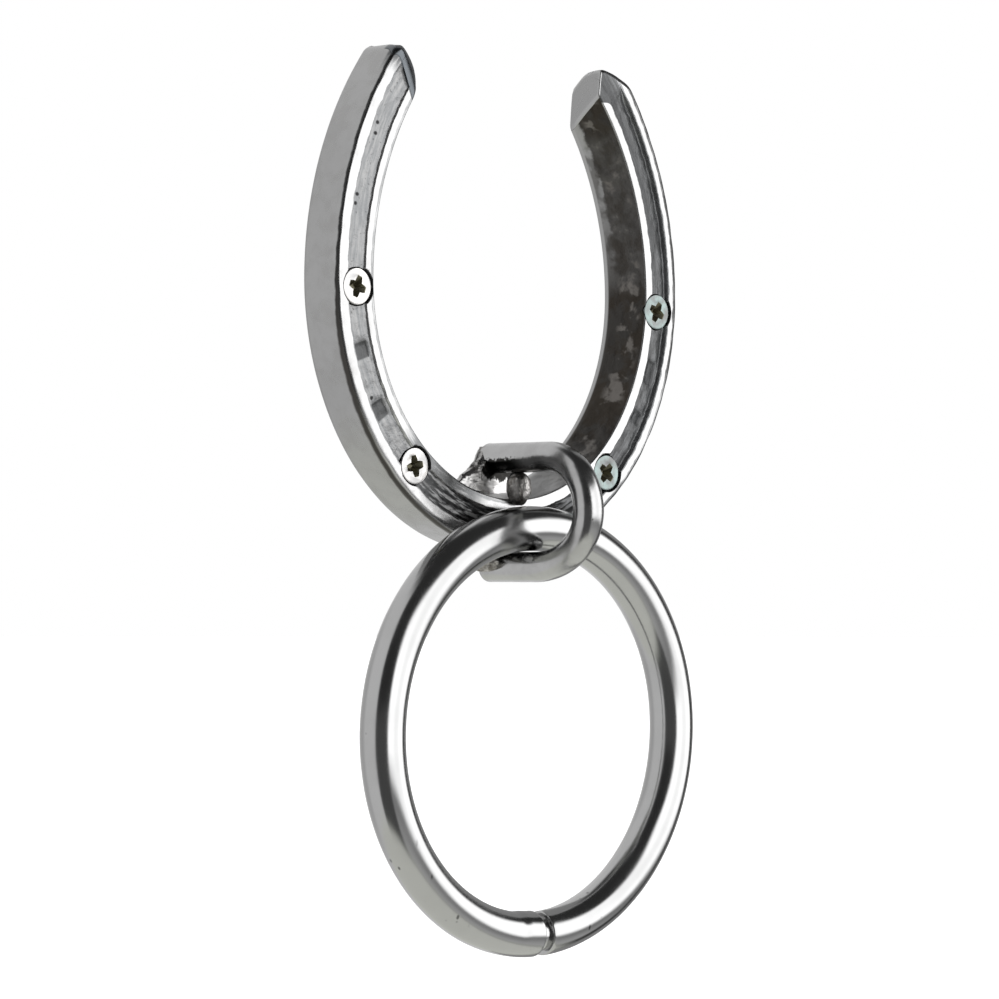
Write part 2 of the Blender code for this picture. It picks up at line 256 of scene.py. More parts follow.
def shoe_sockets(graph, place, front_y):
    """The places and noises that the shoe's colours share.

    inward (mm in from the outer edge) and along (mm from the toe's middle, positive on the right) come from
    the UV map. reach is along without its sign. x, y and depth (back from the front face) are metres.
    """
    at = SimpleNamespace()
    uv = graph.add("ShaderNodeUVMap", uv_map="place")
    at.inward, at.along, _ = graph.xyz(uv)
    at.x, at.y, _ = graph.xyz(place)
    at.depth = graph.math("SUBTRACT", at.y, front_y)
    at.reach = graph.math("ABSOLUTE", at.along)
    at.right_side = graph.span(at.along, -4.0, 8.0)
    at.left_side = graph.fall(at.right_side, 0.0, 1.0)
    at.wobble = graph.noise(place, 420, 4)
    at.rough_inward = graph.math("ADD", at.inward, graph.math("MULTIPLY_ADD", at.wobble, 0.8, -0.4))
    at.streak = graph.noise(graph.stretch(uv, (1.4, 0.12, 1.0)), 1.0, 5, 0.65)
    at.blotch = graph.noise(place, 190, 5, 0.62, 0.3)
    at.specks = graph.noise(place, 1500, 3, 0.6)
    at.smudge = graph.noise(place, 210, 3, 0.55, 0.2)
    at.on_front = graph.fall(at.depth, 1.6 * MM, 2.4 * MM)
    return at


def shoe_body_colour(graph, at):
    """Bright rims and duller sides. In places the rims are streaked dark; at the toe this is painted shade.
    """
    front = graph.mix(graph.span(at.depth, 0.2 * MM, 1.0 * MM), grey(0.54), grey(0.4))
    body = graph.mix(graph.span(at.blotch, 0.4, 0.7, 0.0, 0.3), front, grey(0.3, 0.02))
    heel_tip = graph.product(graph.span(at.reach, 135.5, 141.0), at.left_side)
    # The inner rim's dark streaks near the toe are painted shade.
    toe_rim = graph.product(graph.band(at.along, -44.0, -13.0, 8.0), graph.span(at.inward, 7.9, 8.3))
    outer_half = graph.product(at.right_side, graph.fall(at.rough_inward, 1.1, 1.5))
    inner_line = graph.product(at.left_side, graph.span(at.rough_inward, 9.4, 9.7))
    darker_tip_and_toe = graph.math("MAXIMUM", heel_tip, graph.product(toe_rim, 0.85))
    darker_rim_lines = graph.math("MAXIMUM", outer_half, graph.product(inner_line, 0.7))
    upper_right = graph.product(graph.span(at.along, 50.0, 75.0), graph.fall(at.rough_inward, 1.3, 1.8))
    # Each layer: where, the streaks' softness as low and high, their least share, and their colour.
    layers = (
        (darker_tip_and_toe, 0.36, 0.5, 0.5, grey(0.1, -0.03)),
        (darker_rim_lines, 0.4, 0.55, 0.45, grey(0.15, -0.02)),
        (upper_right, 0.36, 0.5, 0.6, grey(0.05)),
    )
    for where, low, high, least, dark in layers:
        streaks = graph.span(at.streak, low, high, least, 1.0)
        body = graph.mix(graph.product(at.on_front, where, streaks), body, dark)
    return body


def heel_cap_colour(graph, at):
    """The heels' cut faces: bright, with painted dark reflections near the front beside the groove, dark and
    bluish on the left heel and black on the right.
    """
    near_front = graph.fall(at.depth, 3.5 * MM, 4.5 * MM)
    # Painted dark reflection on the left heel's faces near the front, bluish and streaked.
    left_painted_reflection = graph.mix(graph.span(at.streak, 0.4, 0.6), grey(0.03, -0.1), grey(0.13, -0.08))
    left_cap = graph.mix(near_front, grey(0.4), left_painted_reflection)
    # Painted black reflection on the right heel's outer faces near the front.
    beside = graph.math("MULTIPLY_ADD", at.y, -0.28, at.x)
    outer_part = graph.span(beside, 30.9 * MM, 31.3 * MM)
    right_cap = graph.mix(graph.product(near_front, outer_part), grey(0.42), grey(0.02))
    return graph.mix(at.right_side, left_cap, right_cap)


def groove_floor_colour(graph, at):
    """Light on the left and dark on the right, the right's darkness being painted shade, with black streaks
    of painted shade at the toe, pits and filled nail holes.
    """
    left = graph.mix(graph.span(at.streak, 0.35, 0.62), grey(0.34), grey(0.24, -0.02))
    # The right branch's darker floor is painted shade.
    right = graph.mix(graph.span(at.streak, 0.38, 0.6, 0.0, 0.6), grey(0.17, -0.02), grey(0.07))
    # Black streaks near the toe are painted shade.
    toe_shade = graph.span(at.reach, 22.0, 46.0, 0.95, 0.0)
    inner_slope = graph.product(graph.span(at.along, 85.0, 105.0), graph.span(at.inward, 4.3, 6.8), 0.6)
    outer_wall = graph.product(graph.span(at.along, 30.0, 50.0), graph.band(at.inward, 2.9, 3.4, 0.2))
    layers = (
        (graph.product(toe_shade, graph.span(at.streak, 0.42, 0.54)), grey(0.015)),
        (graph.span(at.specks, 0.62, 0.7, 0.0, 0.6), grey(0.03)),
        (inner_slope, grey(0.07, -0.02)),
        (outer_wall, grey(0.38, -0.02)),
        (nail_patches(graph, at), grey(0.07, -0.02)),
        (pit_mask(graph, at), grey(0.01)),
    )
    return graph.layer(graph.mix(at.right_side, left, right), layers)


def nail_patches(graph, at):
    """Dull patches where the nail holes are filled."""
    total = 0.0
    for place, half_length in NAIL_HOLES:
        patch = graph.band(at.along, place - half_length, place + half_length, 0.5)
        total = graph.math("ADD", total, graph.product(patch, graph.band(at.inward, 4.0, 7.1, 0.4), 0.85))
    return total


def pit_mask(graph, at):
    total = 0.0
    for place, depth_in in PITS:
        sideways = graph.math("SUBTRACT", at.inward, depth_in)
        onward = graph.math("SUBTRACT", at.along, place)
        squares = graph.math("ADD", graph.product(sideways, sideways), graph.product(onward, onward))
        away = graph.math("SQRT", squares)
        total = graph.math("ADD", total, graph.span(away, 0.3, 0.6, 0.9, 0.0))
    return total


def inner_side_colour(graph, at):
    """Dark forge scale with rubbed smears, and bare metal at the toe and near the heels."""
    scale = graph.mix(graph.span(at.blotch, 0.42, 0.6), grey(0.04, 0.16), grey(0.052, 0.06))
    upper_right = graph.band(at.along, 90.0, 132.0, 6.0)
    middle = graph.band(at.inward, 10.8, 12.1, 0.5)
    near_heel = graph.product(graph.span(at.reach, 88.0, 125.0), graph.span(at.rough_inward, 12.25, 12.5))
    layers = (
        (graph.product(upper_right, graph.span(at.smudge, 0.38, 0.56, 0.35, 1.0)), grey(0.09, 0.04)),
        (graph.product(middle, graph.span(at.smudge, 0.53, 0.63, 0.0, 0.9)), grey(0.17, 0.07)),
        (graph.product(near_heel, graph.span(at.smudge, 0.4, 0.55, 0.4, 1.0)), grey(0.36)),
        (graph.fall(at.reach, 14.0, 42.0), grey(0.34)),
    )
    return graph.layer(scale, layers)


def shoe_material(front_y):
    """Polished rims and sides, a painted shade line on the outer edge, a stained groove with painted shade on
    the right and at the toe, and a scaly inner side.
    """
    graph, place = new_metal("horseshoe_steel")
    at = shoe_sockets(graph, place, front_y)

    # The inner rim is a little narrower up the right branch, and tapers off at its heel.
    rim_shift = graph.product(graph.span(at.reach, 139.0, 143.0, 0.0, 3.0), at.right_side)
    rim_shift = graph.math("ADD", rim_shift, graph.span(at.along, 60.0, 90.0, 0.0, 0.5))
    groove_rise = graph.span(at.rough_inward, 2.5, 2.95)
    groove_fall = graph.fall(graph.math("SUBTRACT", at.rough_inward, rim_shift), 7.75, 8.15)
    grooved = graph.product(at.on_front, groove_rise, groove_fall)

    behind_front = graph.span(at.depth, 0.1 * MM, 0.45 * MM)
    on_inner = graph.product(graph.span(at.rough_inward, 9.85, 10.35), behind_front)
    on_lip = graph.product(graph.span(at.rough_inward, 12.3, 12.6), graph.span(at.y, -1.7 * MM, -1.1 * MM))
    on_cap = graph.span(at.reach, 155, 165)

    # Painted shade: a dark line along the outer front edge, narrow and black high up the left branch, wider
    # and dark brown from lower on that branch onwards.
    edge_width = graph.span(at.along, -95.0, -70.0, 1.15 * MM, 2.0 * MM)
    edge_depth = graph.math("ADD", at.depth, graph.math("MULTIPLY", at.wobble, 0.7 * MM))
    edge_share = graph.math("DIVIDE", edge_depth, edge_width)
    edge_front = graph.fall(edge_share, 0.85, 1.25)
    on_shaded_edge = graph.product(graph.fall(at.inward, 0.1, 0.5), edge_front, 0.96)
    edge_shade_colour = graph.mix(graph.span(at.along, -95.0, -70.0), grey(0.012), grey(0.045, 0.08))

    layers = (
        (grooved, groove_floor_colour(graph, at)),
        (on_shaded_edge, edge_shade_colour),
        (on_inner, inner_side_colour(graph, at)),
        (on_lip, grey(0.42)),
        (on_cap, heel_cap_colour(graph, at)),
    )
    colour = graph.layer(shoe_body_colour(graph, at), layers)

    roughness = graph.blend(grooved, graph.span(at.blotch, 0.3, 0.7, 0.2, 0.3), 0.42)
    roughness = graph.blend(on_inner, roughness, 0.4)

    fine = graph.bump(at.specks, 0.05 * MM, graph.blend(grooved, 0.12, 0.9))
    rugged = graph.blend(graph.math("MAXIMUM", grooved, on_inner), 0.06, 0.9)
    normal = graph.bump(at.blotch, 0.35 * MM, rugged, fine)
    return finish_metal(graph, colour, roughness, normal)


def grime_and_shade_material(name, dark, light, roughness, relief):
    """Grainy dark colour: painted shade in the screws' holes, grime in their recesses."""
    graph, place = new_metal(name)
    grain = graph.noise(place, 900, 3)
    normal = graph.bump(grain, 0.05 * MM, relief)
    return finish_metal(graph, graph.mix(grain, dark, light), roughness, normal)


def bar_material(name, value, shade_and_soot=None):
    """Polished round bar with faint clouds and small pits. Its last argument, called with (graph, place), is
    a mask of black painted shade and soot.
    """
    graph, place = new_metal(name)
    blotch = graph.noise(place, 210, 4, 0.6, 0.2)
    fine = graph.noise(place, 1700, 2)
    patches = graph.span(graph.noise(place, 95, 2), 0.56, 0.66)
    pits = graph.product(graph.fall(graph.cells(place, 360), 0.05, 0.13), patches)
    colour = graph.mix(graph.span(blotch, 0.35, 0.75, 0.0, 0.3), grey(value), grey(value * 0.72, 0.01))
    colour = graph.mix(pits, colour, grey(0.05))
    if shade_and_soot:
        # Black where the mask says: painted shade and soot.
        colour = graph.mix(shade_and_soot(graph, place), colour, grey(0.03, 0.05))
    roughness = graph.span(blotch, 0.3, 0.75, 0.17, 0.27)
    normal = graph.bump(blotch, 0.12 * MM, 0.35, graph.bump(fine, 0.02 * MM, 0.25))
    return finish_metal(graph, colour, roughness, normal)


def leg_shade_and_soot(graph, place):
    """Ragged black round the shackle's welds: painted shade under the upper leg, and soot over the lower leg.
    """
    _, y, z = graph.xyz(place)
    ragged = graph.ragged(place, 620, 5 * MM)
    ragged_z = graph.math("ADD", z, ragged)
    # Painted shade under the upper leg.
    upper = graph.product(
        graph.band(ragged_z, UPPER_LEG_Z - 6 * MM, UPPER_LEG_Z - 0.4 * MM, 0.3 * MM),
        graph.span(graph.math("ADD", y, ragged), -19 * MM, -13 * MM, 0.35, 1.0),
        graph.span(y, -27 * MM, -21 * MM),
    )
    lower = graph.product(
        graph.band(ragged_z, LOWER_LEG_TOP - 1.6 * MM, LOWER_LEG_TOP + 2 * MM, 0.4 * MM),
        graph.span(graph.noise(place, 420, 4, 0.7), 0.5, 0.58),
        graph.span(y, -24 * MM, -19 * MM),
    )
    return graph.math("MAXIMUM", upper, lower)


def weld_material():
    """Rough bead: brown-grey heat scale in its hollows, brighter metal on its lumps."""
    graph, place = new_metal("weld_bead")
    lumps = graph.noise(graph.stretch(place, (1.0, 1.0, 0.35)), 620, 5, 0.6, 0.4)
    tint = graph.noise(place, 260, 3)
    colour = graph.mix(graph.span(lumps, 0.38, 0.62), grey(0.16, 0.08), grey(0.46, 0.03))
    colour = graph.mix(graph.span(tint, 0.5, 0.7, 0.0, 0.5), colour, grey(0.24, 0.08))
    normal = graph.bump(lumps, 0.4 * MM, 0.9)
    return finish_metal(graph, colour, graph.span(tint, 0.3, 0.7, 0.3, 0.5), normal)


def flare_material():
    """The rear weld's skirt: ground smooth like the bar, with ragged black painted shade on its front under
    the leg.
    """
    graph, place = new_metal("skirt_painted_shade")
    x, y, z = graph.xyz(place)
    cloud = graph.noise(place, 300, 4)
    ragged = graph.ragged(graph.stretch(place, (1.0, 1.0, 0.5)), 520, 6 * MM)
    ragged_z = graph.math("ADD", z, ragged)
    forward = graph.math("ADD", x, y)
    shaded = graph.span(graph.math("ADD", forward, ragged), -10.4 * MM, -9.4 * MM)
    front_half = graph.fall(graph.math("MULTIPLY_ADD", ragged, 0.4, y), -3.4 * MM, -2.6 * MM)
    high = graph.span(ragged_z, 10.4 * MM, 11 * MM)
    low = graph.fall(z, 10.4 * MM, 11 * MM)
    below_leg = graph.fall(graph.math("MULTIPLY_ADD", forward, -0.86, ragged_z), 21.6 * MM, 22.6 * MM)
    layers = (
        (graph.product(low, shaded), grey(0.6, 0.01)),
        # Painted shade: ragged black high on the front, under the leg.
        (graph.product(high, shaded, below_leg, front_half), grey(0.02, 0.05)),
    )
    ground = graph.mix(graph.span(cloud, 0.35, 0.7), grey(0.48, 0.01), grey(0.33, 0.03))
    normal = graph.bump(graph.noise(place, 620, 4, 0.6), 0.12 * MM, 0.3)
    return finish_metal(graph, graph.layer(ground, layers), graph.span(cloud, 0.3, 0.7, 0.25, 0.4), normal)


def ring_material():
    """Polished plating with hairlines, faint clouds, scattered pits, and nicks low on the ring."""
    graph, place = new_metal("polished_ring")
    cloud = graph.noise(place, 70, 4, 0.6)
    fine = graph.noise(place, 1300, 2)
    scratch = graph.noise(graph.stretch(place, (1.0, 1.0, 0.12)), 900, 2, 0.5, 0.5)
    patches = graph.noise(place, 48, 2)
    pits = graph.product(graph.fall(graph.cells(place, 300), 0.04, 0.12), graph.span(patches, 0.56, 0.64))
    _, _, z = graph.xyz(place)
    knocked = graph.product(graph.fall(z, -74 * MM, -64 * MM), graph.span(patches, 0.5, 0.58))
    nicks = graph.fall(graph.cells(graph.stretch(place, (1.0, 1.0, 0.45)), 330), 0.06, 0.16)
    pits = graph.math("MAXIMUM", pits, graph.product(nicks, knocked))
    colour = graph.mix(graph.span(cloud, 0.35, 0.7, 0.0, 0.3), grey(0.47), grey(0.4))
    colour = graph.mix(graph.product(pits, 0.8), colour, grey(0.08))
    roughness = graph.span(cloud, 0.3, 0.75, 0.15, 0.22)
    normal = graph.bump(scratch, 0.02 * MM, 0.2, graph.bump(fine, 0.01 * MM, 0.15))
    normal = graph.bump(pits, 0.15 * MM, -0.6, normal)
    return finish_metal(graph, colour, roughness, normal)


def screw_material():
    """Bright zinc, duller and greener on the right-hand screws."""
    graph, place = new_metal("bright_zinc")
    grain = graph.noise(place, 1200, 3)
    cloud = graph.noise(place, 300, 3)
    x, _, _ = graph.xyz(place)
    clouded = graph.span(cloud, 0.35, 0.7)
    bright = graph.mix(clouded, grey(0.66, 0.03), grey(0.5))
    dull = graph.mix(clouded, ZINC_GREEN, grey(0.2))
    colour = graph.mix(graph.span(x, -5 * MM, 5 * MM), bright, dull)
    normal = graph.bump(grain, 0.03 * MM, 0.4)
    return finish_metal(graph, colour, graph.span(cloud, 0.3, 0.7, 0.24, 0.36), normal)


# -------- mesh tools


def turns(count):
    """The angles of a full turn in equal steps."""
    return [FULL_TURN * i / count for i in range(count)]


def smooth_step(value):
    value = min(1.0, max(0.0, value))
    return value * value * (3 - 2 * value)


def add_object(name, tools, finish, sharp=180):
    """A smooth-shaded object, with creases above the sharp angle in degrees."""
    bmesh.ops.recalc_face_normals(tools, faces=tools.faces)
    mesh = bpy.data.meshes.new(name)
    tools.to_mesh(mesh)
    tools.free()
    mesh.shade_smooth()
    if sharp < 180:
        mesh.set_sharp_from_angle(angle=math.radians(sharp))
    mesh.materials.append(finish)
    made = bpy.data.objects.new(name, mesh)
    bpy.context.scene.collection.objects.link(made)
    return made


def skin(rows):
    """A closed tube of quads over rows of points."""
    tools = bmesh.new()
    verts = [[tools.verts.new(point) for point in row] for row in rows]
    size = len(verts[0])
    for near, far in zip(verts, verts[1:]):
        for i in range(size):
            j = (i + 1) % size
            tools.faces.new((near[i], near[j], far[j], far[i]))
    tools.faces.new(verts[0])
    tools.faces.new(reversed(verts[-1]))
    return tools


def lathe(profile, segments, sway=None):
    """Turn (radius, height) points about +Z. sway(angle, radius, height) may change a point's radius."""
    rows = []
    for radius, height in profile:
        row = []
        for a in turns(segments):
            r = sway(a, radius, height) if sway else radius
            row.append((r * math.cos(a), r * math.sin(a), height))
        rows.append(row)
    return skin(rows)


def cut(target, cutter):
    """Take the cutter away from the target. The cut faces get the cutter's material."""
    boolean = target.modifiers.new("cut", "BOOLEAN")
    boolean.operation = "DIFFERENCE"
    boolean.solver = "EXACT"
    boolean.material_mode = "TRANSFER"
    boolean.object = cutter
    graph = bpy.context.evaluated_depsgraph_get()
    mesh = bpy.data.meshes.new_from_object(target.evaluated_get(graph), depsgraph=graph)
    target.modifiers.clear()
    target.data = mesh
    bpy.data.objects.remove(cutter, do_unlink=True)


# -------- horseshoe

SECTION_CORNER_STEPS = 5
HEEL_START = math.radians(27)  # from here on each line along a branch ends on the heel's cuts
LAST_ANGLE = math.radians(50)
HALVINGS = 22
TOE_STATIONS = 130
BRANCH_STATIONS = 56
HEEL_STATIONS = 30
HEEL_EDGE = 0.5 * MM
CAP_ALONG = 60  # added to the distance along on a heel's cut faces, to mark them
CAP_INWARD = 1.5
CAP_LOOPS = (0.8, 0.6, 0.4, 0.2, 0.05)
HEEL_BLEND = 0.45 * MM  # softness of the edges between two cuts
FRONT_ZONE = 2.5 * MM  # how deep behind the front face the front's wear goes
HAMMER_DEPTH = 0.14 * MM
NAIL_HOLE_REACH = 1.5 * MM
NAIL_HOLE_DEPTH = 0.35 * MM
GROOVE_WANDER = 0.16 * MM
INNER_DENTS = 0.16 * MM
EDGE_WEAR = 0.25 * MM
SIDE_WAVES = 0.03 * MM


def section(share, front_y):
    """The shoe's cross-section as (inward, y), with the groove at a share of its depth."""
    groove_end = GROOVE_START + GROOVE_WIDTH
    inner_wall = groove_end - INNER_WALL_WIDTH
    inner_wall_y = front_y + INNER_WALL_SHARE * (GROOVE_DEPTH * share)
    lip = BRANCH_WEB + BACK_LIP
    # Each corner: inward, y, how far its rounding reaches, and the steps of the flat stretch after it.
    corners = [
        (0, 0, 0.8 * MM, 18),  # outer side, back
        (0, front_y, 1.3 * MM, 2),  # outer side, front
        (GROOVE_START, front_y, 0.16 * MM, 2),
        (GROOVE_START + GROOVE_SLOPE, front_y + GROOVE_DEPTH * share, 0.35 * MM, 12),
        (inner_wall, inner_wall_y, 0.2 * MM, 2),
        (groove_end, front_y, 0.16 * MM, 3),
        (BRANCH_WEB, front_y, 0.4 * MM, 18),  # the sloped inner side runs from here to the lip
        (lip, -LIP_DEPTH, 0.4 * MM, 2),
        (lip, 0, 0.5 * MM, 10),
    ]
    points = []
    for i, (inward, y, reach, steps) in enumerate(corners):
        here = Vector((inward, y))
        before = Vector(corners[i - 1][:2])
        after_corner = corners[(i + 1) % len(corners)]
        after = Vector(after_corner[:2])
        start = here + (before - here).normalized() * reach
        end = here + (after - here).normalized() * reach
        for k in range(SECTION_CORNER_STEPS + 1):
            t = k / SECTION_CORNER_STEPS
            points.append(start * (1 - t) ** 2 + here * 2 * t * (1 - t) + end * t**2)
        next_start = after + (here - after).normalized() * after_corner[2]
        for k in range(1, steps):
            points.append(end.lerp(next_start, k / steps))
    return points


def place_on_shoe(angle, on_branch, inward, y, side, toe_bottom):
    """A point at an angle round the toe or, on a branch, up its arc from the widest line."""
    widest_z = toe_bottom + TOE_HEIGHT
    if on_branch:
        reach = BRANCH_RADIUS - inward
        x = SHOE_HALF_WIDTH - BRANCH_RADIUS + reach * math.cos(angle)
        z = widest_z + reach * math.sin(angle)
    else:
        x = (SHOE_HALF_WIDTH - inward) * math.sin(angle)
        z = widest_z - (TOE_HEIGHT - inward * TOE_WEB / BRANCH_WEB) * math.cos(angle)
    return Vector((side * x, y, z))


def beyond_cuts(point, side):
    """Signed distance beyond the heel's cuts, blended smoothly where two meet."""
    distances = [(point - Vector(on) * MM).dot(Vector(away).normalized()) for on, away in HEEL_CUTS[side]]
    largest = max(distances)
    total = sum(math.exp((d - largest) / HEEL_BLEND) for d in distances)
    return largest + HEEL_BLEND * math.log(total)


def end_angle(inward, y, side, toe_bottom, short):
    """The angle at which a line along a branch comes to a distance short of the heel's cuts."""
    low, high = HEEL_START, LAST_ANGLE
    for _ in range(HALVINGS):
        middle = (low + high) / 2
        if beyond_cuts(place_on_shoe(middle, True, inward, y, side, toe_bottom), side) < -short:
            low = middle
        else:
            high = middle
    return low


def worn(inward, y, along, share, front_y):
    """A point of the cross-section after forging marks and wear, all held inside the plain shape."""
    spot = Vector((inward / MM, along, y / MM))
    depth = y - front_y
    middle = GROOVE_START + GROOVE_WIDTH / 2
    across = abs(inward - middle) / (GROOVE_WIDTH / 2)
    if depth < FRONT_ZONE and share > 0:
        floor = smooth_step((1.0 - across) / 0.25) * share
        hammer = noise.noise(spot * 0.55) + 0.5 * noise.noise(spot * 1.3)
        y += floor * HAMMER_DEPTH * hammer
        for hole, half_length in NAIL_HOLES:
            sized = max(abs(along - hole) / half_length, abs(inward - middle) / NAIL_HOLE_REACH)
            y += NAIL_HOLE_DEPTH * smooth_step((1.15 - sized) / 0.3) * share
        if abs(across - 1) < 0.5:
            edge = Vector((0, along * 0.35, 5.0 if inward > middle else 0.0))
            inward += GROOVE_WANDER * (noise.noise(edge) + 0.6 * noise.noise(edge * 3)) * share
    on_inner = smooth_step((inward - BRANCH_WEB) / (0.5 * MM)) * smooth_step((-y - LIP_DEPTH) / (1 * MM))
    inward -= on_inner * INNER_DENTS * (noise.noise(spot * 0.3) + 0.5 * noise.noise(spot * 0.9))
    edge_zone = smooth_step(1 - inward / (1.2 * MM)) * smooth_step(1 - depth / FRONT_ZONE)
    inward += edge_zone * EDGE_WEAR * max(0.0, noise.noise(Vector((3.0, along * 0.22, 0))) + 0.15)
    side_zone = smooth_step(1 - inward / (0.6 * MM))
    inward += side_zone * SIDE_WAVES * (1 + noise.noise(spot * 0.12))
    return inward, y


def half_shoe_rows(side, front_y, toe_bottom):
    """Rows of (point, inward, along) from the middle of the toe to the middle of the heel's end face."""
    rows = []
    along = 0.0
    last = place_on_shoe(0, False, 0, 0, side, toe_bottom)
    full = section(1, front_y)
    plain = section(0, front_y)
    stations = [(math.pi / 2 * i / TOE_STATIONS, False) for i in range(TOE_STATIONS)]
    stations += [(HEEL_START * i / BRANCH_STATIONS, True) for i in range(BRANCH_STATIONS + 1)]
    for angle, on_branch in stations:
        here = place_on_shoe(angle, on_branch, 0, 0, side, toe_bottom)
        along += (here - last).length / MM
        last = here
        row = []
        for inward, y in full:
            s, worn_y = worn(inward, y, side * along, 1, front_y)
            point = place_on_shoe(angle, on_branch, s, worn_y, side, toe_bottom)
            row.append((point, inward / MM, side * along))
        rows.append(row)
    centre = sum(plain, Vector((0, 0))) / len(plain)
    ends = [end_angle(p.x, p.y, side, toe_bottom, HEEL_EDGE) for p in plain]
    for step in range(1, HEEL_STATIONS + 1):
        row = []
        for a, b, end in zip(full, plain, ends):
            angle = HEEL_START + (end - HEEL_START) * step / HEEL_STATIONS
            share = smooth_step((GROOVE_END_ANGLE - angle) * BRANCH_RADIUS / GROOVE_FADE)
            spot = b.lerp(a, share)
            reached = along + (angle - HEEL_START) * BRANCH_RADIUS / MM
            s, worn_y = worn(spot.x, spot.y, side * reached, share, front_y)
            point = place_on_shoe(angle, True, s, worn_y, side, toe_bottom)
            row.append((point, spot.x / MM, side * reached))
        rows.append(row)
    for step in range(1, SECTION_CORNER_STEPS + 1):
        turn = math.pi / 2 * step / SECTION_CORNER_STEPS
        rows.append(cap_row(plain, centre, side, toe_bottom, along, 1 - math.cos(turn), 1 - math.sin(turn)))
    for shrink in CAP_LOOPS:
        inner = [centre.lerp(p, shrink) for p in plain]
        rows.append(cap_row(inner, centre, side, toe_bottom, along, shrink, 0))
    return rows


def cap_row(outline, centre, side, toe_bottom, along, inset, short):
    """A loop on the rounded edge or the flat of the heel's end."""
    row = []
    for point in outline:
        moved = point + (centre - point).normalized() * HEEL_EDGE * inset
        angle = end_angle(moved.x, moved.y, side, toe_bottom, HEEL_EDGE * short)
        place = place_on_shoe(angle, True, moved.x, moved.y, side, toe_bottom)
        row.append((place, CAP_INWARD, side * (along + CAP_ALONG)))
    return row


SHOE_CREASE = 50  # degrees
BORE_ROOM = 0.3 * MM
HOLE_SIDES = 72
# How much wider than the countersink a hole's mouth is, at heights over the front face.
HOLE_MOUTH = ((0.5 * MM, 1 * MM), (0.3 * MM, 0.05 * MM), (0.1 * MM, -0.1 * MM), (0.0, -0.35 * MM))
TO_THE_FRONT = Matrix.Rotation(math.radians(90), 4, "X")  # turns +Z to -Y


def screw_hole(name, finish, front_y):
    """A countersink with a softened mouth and a plain bore, right through the shoe."""
    low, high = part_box(name)
    face_depth = low.y - front_y
    narrow = SHANK_RADIUS + BORE_ROOM
    wide = HEAD_RADIUS + HOLE_CLEARANCE
    seat = face_depth + HEAD_CROWN + HEAD_RIM + BORE_ROOM
    profile = [(wide + flare, height) for flare, height in HOLE_MOUTH]
    profile += [(wide, -seat), (narrow, -seat - wide + narrow), (narrow, 2 * front_y)]
    hole = add_object("hole", lathe(profile, HOLE_SIDES), finish)
    place = Matrix.Translation(((low.x + high.x) / 2, front_y, (low.z + high.z) / 2))
    hole.matrix_world = place @ TO_THE_FRONT
    bpy.context.view_layer.update()
    return hole


def build_horseshoe():
    """One loft from heel to heel, with the screw holes cut. Its UV map holds inward and along, in mm."""
    low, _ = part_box("horseshoe")
    front_y, toe_bottom = low.y, low.z
    left = half_shoe_rows(-1, front_y, toe_bottom)
    right = half_shoe_rows(1, front_y, toe_bottom)
    rows = list(reversed(left[1:])) + right
    tools = bmesh.new()
    uv = tools.loops.layers.uv.new("place")
    verts = [[tools.verts.new(point) for point, _, _ in row] for row in rows]
    size = len(verts[0])

    def face(corners):
        made = tools.faces.new([verts[r][i] for r, i in corners])
        for loop, (r, i) in zip(made.loops, corners):
            loop[uv].uv = rows[r][i][1:]

    for r in range(len(rows) - 1):
        for i in range(size):
            j = (i + 1) % size
            face(((r, i), (r, j), (r + 1, j), (r + 1, i)))
    face([(0, i) for i in range(size)])
    face([(len(rows) - 1, i) for i in reversed(range(size))])
    shoe = add_object("forged_horseshoe", tools, shoe_material(front_y))
    # The screw holes' walls are painted shade, near-black and grainy.
    shade = grime_and_shade_material("screw_hole_shade", grey(0.02), grey(0.07), 0.5, 0.5)
    for name in SCREW_TURNS:
        cut(shoe, screw_hole(name, shade, front_y))
    shoe.data.set_sharp_from_angle(angle=math.radians(SHOE_CREASE))
    settle(shoe, "horseshoe")


# -------- screws

THREAD_PITCH = 0.7 * MM
THREAD_DEPTH = 0.36 * MM
ROWS_PER_TURN = 8
RECESS_REACH = 2.3 * MM
RECESS_ARM = 0.88 * MM  # half the width of an arm
RECESS_TIP = 0.7 * RECESS_ARM
RECESS_CORE = 1.5 * MM
RECESS_NOOK = 0.9 * RECESS_CORE  # how far out the corners between the arms are
RECESS_DEPTH = 1.8 * MM
# The recess narrows downwards: heights from the head's face, and the cross's scale there.
RECESS_STEPS = ((-RECESS_DEPTH, 0.32), (-0.12 * MM, 0.95), (0, 1.04), (0.5 * MM, 1.3))
THREAD_START = 0.5 * MM  # above the tip
THREAD_STOP = 0.4 * MM  # below the head's cone
SCREW_SIDES = 64
SCREW_CREASE = 40  # degrees


def cross_outline():
    """A cross with a flared middle, as points round it."""
    points = []
    for arm in range(4):
        turn = arm * math.pi / 2
        corner = [(RECESS_CORE, -RECESS_ARM), (RECESS_REACH, -RECESS_TIP)]
        corner += [(RECESS_REACH, RECESS_TIP), (RECESS_CORE, RECESS_ARM)]
        for x, y in corner:
            points.append((x * math.cos(turn) - y * math.sin(turn), x * math.sin(turn) + y * math.cos(turn)))
        between = turn + math.pi / 4
        points.append((RECESS_NOOK * math.cos(between), RECESS_NOOK * math.sin(between)))
    return points


def recess_cutter(finish):
    rows = []
    for height, scale in RECESS_STEPS:
        rows.append([(x * scale, y * scale, height) for x, y in cross_outline()])
    return add_object("recess", skin(rows), finish)


